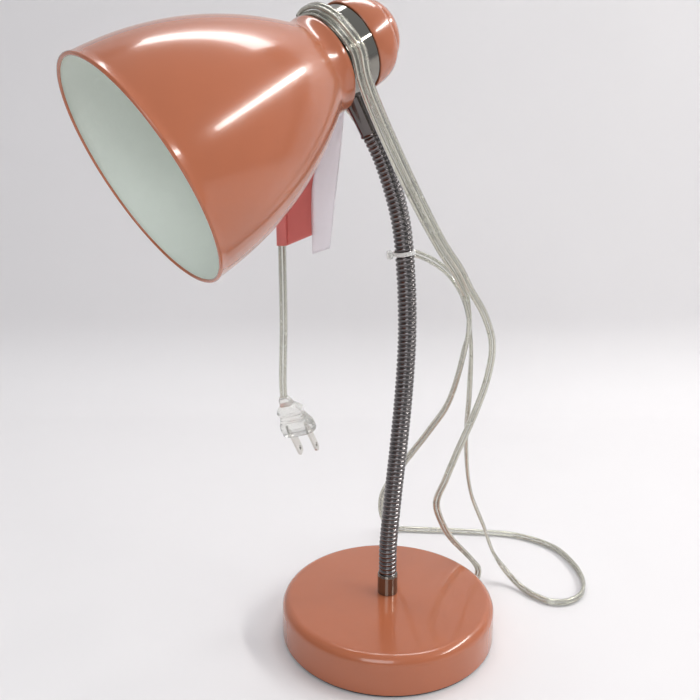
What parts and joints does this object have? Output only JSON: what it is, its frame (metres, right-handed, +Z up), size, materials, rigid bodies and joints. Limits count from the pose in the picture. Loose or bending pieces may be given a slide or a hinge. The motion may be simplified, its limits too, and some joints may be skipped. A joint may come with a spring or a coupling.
{
  "type": "desk lamp",
  "caption": "Gooseneck desk lamp with a weighted round base, ribbed flexible arm, bell shade, screw lampholder, rotary switch and flat mains cord.",
  "frame": {"origin": "centre of the base's foot, on the surface that the lamp stands on", "axes": "+Z up; the shade looks towards -X; the switch and the plug are on the +Y side, the cord leaves the base towards +X"},
  "size_m": [0.3785, 0.1912, 0.411],
  "materials": {
    "enamel": "glossy terracotta enamel, the shade pale inside",
    "ballast": "rough cast iron",
    "pad": "thin dark foam",
    "black_rubber": "moulded black rubber",
    "zinc_steel": "zinc-plated steel",
    "chrome": "polished chrome",
    "dark_chrome": "polished dark chrome",
    "arm_metal": "black nickel on wound steel",
    "holder_white": "white glazed porcelain",
    "ring_ivory": "ivory moulded plastic",
    "brass": "plain brass",
    "switch_black": "black moulded plastic with a steel bush and shaft",
    "knob_black": "black moulded plastic",
    "cord_pvc": "clear soft plastic over silvery strands",
    "clear_plastic": "clear moulded plastic",
    "blade_nickel": "nickel-plated brass",
    "paper": "bare paper, one panel red"
  },
  "bodies": {
    "base": {"base_cover": "enamel", "base_weight": "ballast", "base_pad": "pad", "cord_bushing": "black_rubber", "base_nipple": "zinc_steel", "base_nuts": "zinc_steel", "lower_collar": "chrome", "arm_root": "arm_metal", "cord_floor_run": "cord_pvc", "cord_riser": "cord_pvc", "cord_drop": "cord_pvc", "cord_side_loop": "cord_pvc"},
    "link_1": {"arm_link_1": "arm_metal"},
    "link_2": {"arm_link_2": "arm_metal"},
    "link_3": {"arm_link_3": "arm_metal"},
    "link_4": {"arm_link_4": "arm_metal"},
    "link_5": {"arm_link_5": "arm_metal"},
    "link_6": {"arm_link_6": "arm_metal", "cable_tie": "clear_plastic"},
    "link_7": {"arm_link_7": "arm_metal"},
    "head": {"arm_tip": "arm_metal", "upper_collar": "dark_chrome", "head_nipple": "zinc_steel", "head_nut": "zinc_steel", "housing": "chrome", "shade": "enamel", "shade_ring": "ring_ivory", "rear_cap": "enamel", "lampholder_body": "holder_white", "screw_shell": "brass", "centre_contact": "brass", "mount_plate": "zinc_steel", "plate_screws": "zinc_steel", "switch_body": "switch_black", "switch_nut": "chrome", "cord_strand_right": "cord_pvc", "cord_strand_left": "cord_pvc", "cord_back_run": "cord_pvc", "cord_plug_run": "cord_pvc", "plug_body": "clear_plastic", "plug_blades": "blade_nickel", "paper_flag": "paper"},
    "knob": {"switch_knob": "knob_black"}
  },
  "joints": [
    {"name": "bend_1", "type": "hinge", "parent": "base", "child": "link_1", "pos_m": [0, 0, 0.0606], "axis": [0, 1, 0], "range_deg": [-25.6, 14.4], "deforming": ["cord_riser", "cord_drop", "cord_side_loop"]},
    {"name": "bend_2", "type": "hinge", "parent": "link_1", "child": "link_2", "pos_m": [0.00366, 0, 0.09792], "axis": [0.9942, 0, -0.108], "range_deg": [-18, 18], "deforming": ["cord_riser", "cord_drop", "cord_side_loop"]},
    {"name": "bend_3", "type": "hinge", "parent": "link_2", "child": "link_3", "pos_m": [0.0081, 0, 0.13516], "axis": [0, 1, 0], "range_deg": [-18.8, 21.2], "deforming": ["cord_riser", "cord_drop", "cord_side_loop"]},
    {"name": "bend_4", "type": "hinge", "parent": "link_3", "child": "link_4", "pos_m": [0.01176, 0, 0.17248], "axis": [0.9973, 0, -0.0741], "range_deg": [-18, 18], "deforming": ["cord_riser", "cord_drop", "cord_side_loop"]},
    {"name": "bend_5", "type": "hinge", "parent": "link_4", "child": "link_5", "pos_m": [0.01366, 0, 0.20993], "axis": [0, 1, 0], "range_deg": [-14.6, 25.4], "deforming": ["cord_riser", "cord_drop", "cord_side_loop"]},
    {"name": "bend_6", "type": "hinge", "parent": "link_5", "child": "link_6", "pos_m": [0.01202, 0, 0.2474], "axis": [0.9957, 0, 0.0924], "range_deg": [-18, 18], "deforming": ["cord_riser", "cord_drop", "cord_side_loop"]},
    {"name": "bend_7", "type": "hinge", "parent": "link_6", "child": "link_7", "pos_m": [0.00674, 0, 0.28452], "axis": [0, 1, 0], "range_deg": [-7.6, 32.4], "deforming": ["cord_strand_right", "cord_strand_left", "cord_back_run"]},
    {"name": "bend_8", "type": "hinge", "parent": "link_7", "child": "head", "pos_m": [-0.0064, 0, 0.31965], "axis": [0.9026, 0, 0.4305], "range_deg": [-18, 18], "deforming": ["cord_strand_right", "cord_strand_left", "cord_back_run"]},
    {"name": "knob_turn", "type": "hinge", "parent": "head", "child": "knob", "pos_m": [-0.0403, 0.03, 0.3772], "axis": [0, 1, 0], "continuous": true}
  ]
}
